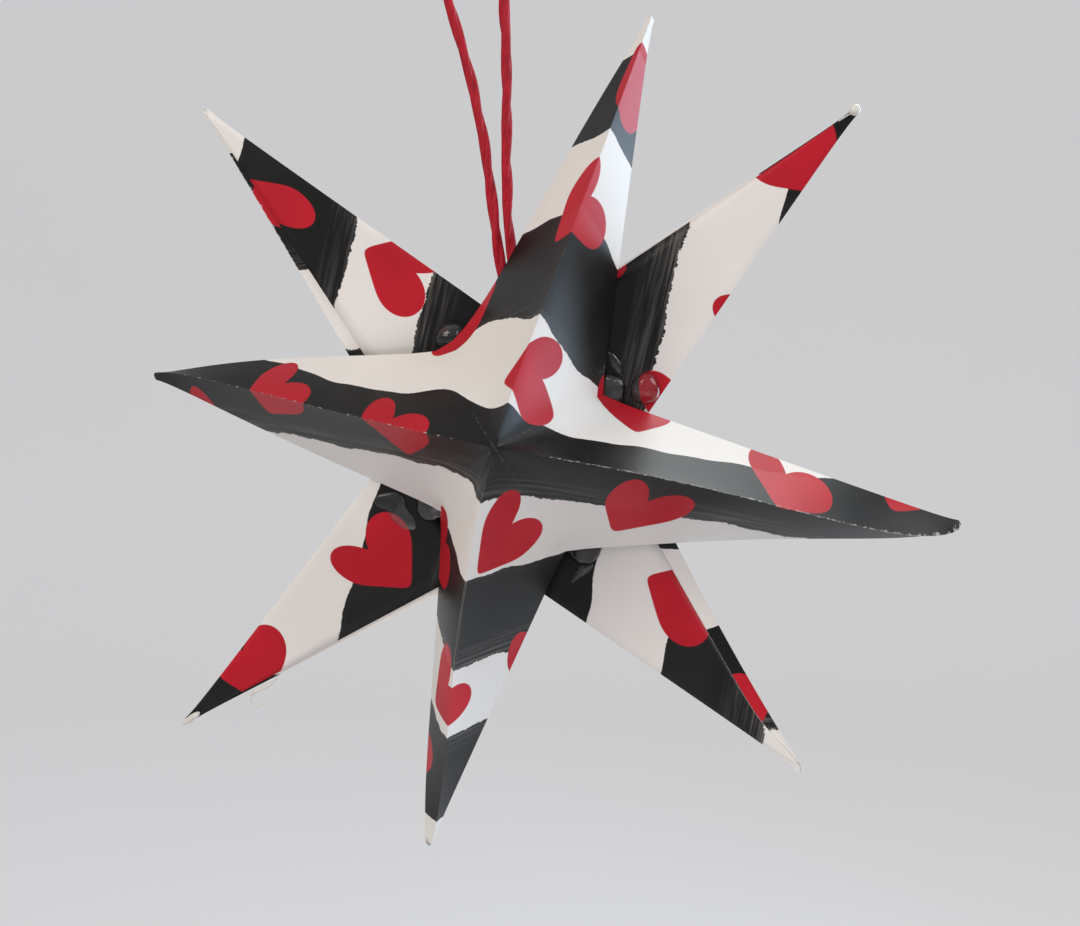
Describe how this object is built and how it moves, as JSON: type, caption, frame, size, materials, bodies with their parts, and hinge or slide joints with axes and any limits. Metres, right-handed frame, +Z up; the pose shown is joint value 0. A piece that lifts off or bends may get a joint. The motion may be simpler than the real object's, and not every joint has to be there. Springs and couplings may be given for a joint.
{
  "type": "origami star ornament",
  "caption": "Hanging paper star: two slit and folded paper squares glued back to back, one turned against the other, on a loop of red yarn.",
  "frame": {"origin": "Where the loop hangs, under the yarn at the top of the loop", "axes": "+Z up along the hanging loop, front star's peak towards -Y, +X to the right seen from the front"},
  "size_m": [0.1844, 0.0736, 0.2161],
  "materials": {
    "printed_paper": "satin printed paper",
    "clear_glue": "clear glossy",
    "red_yarn": "soft twisted"
  },
  "bodies": {
    "root": {"front_star": "printed_paper", "back_star": "printed_paper", "glue_dabs": "clear_glue", "loop_glue": "clear_glue", "hanging_loop": "red_yarn"}
  },
  "joints": []
}
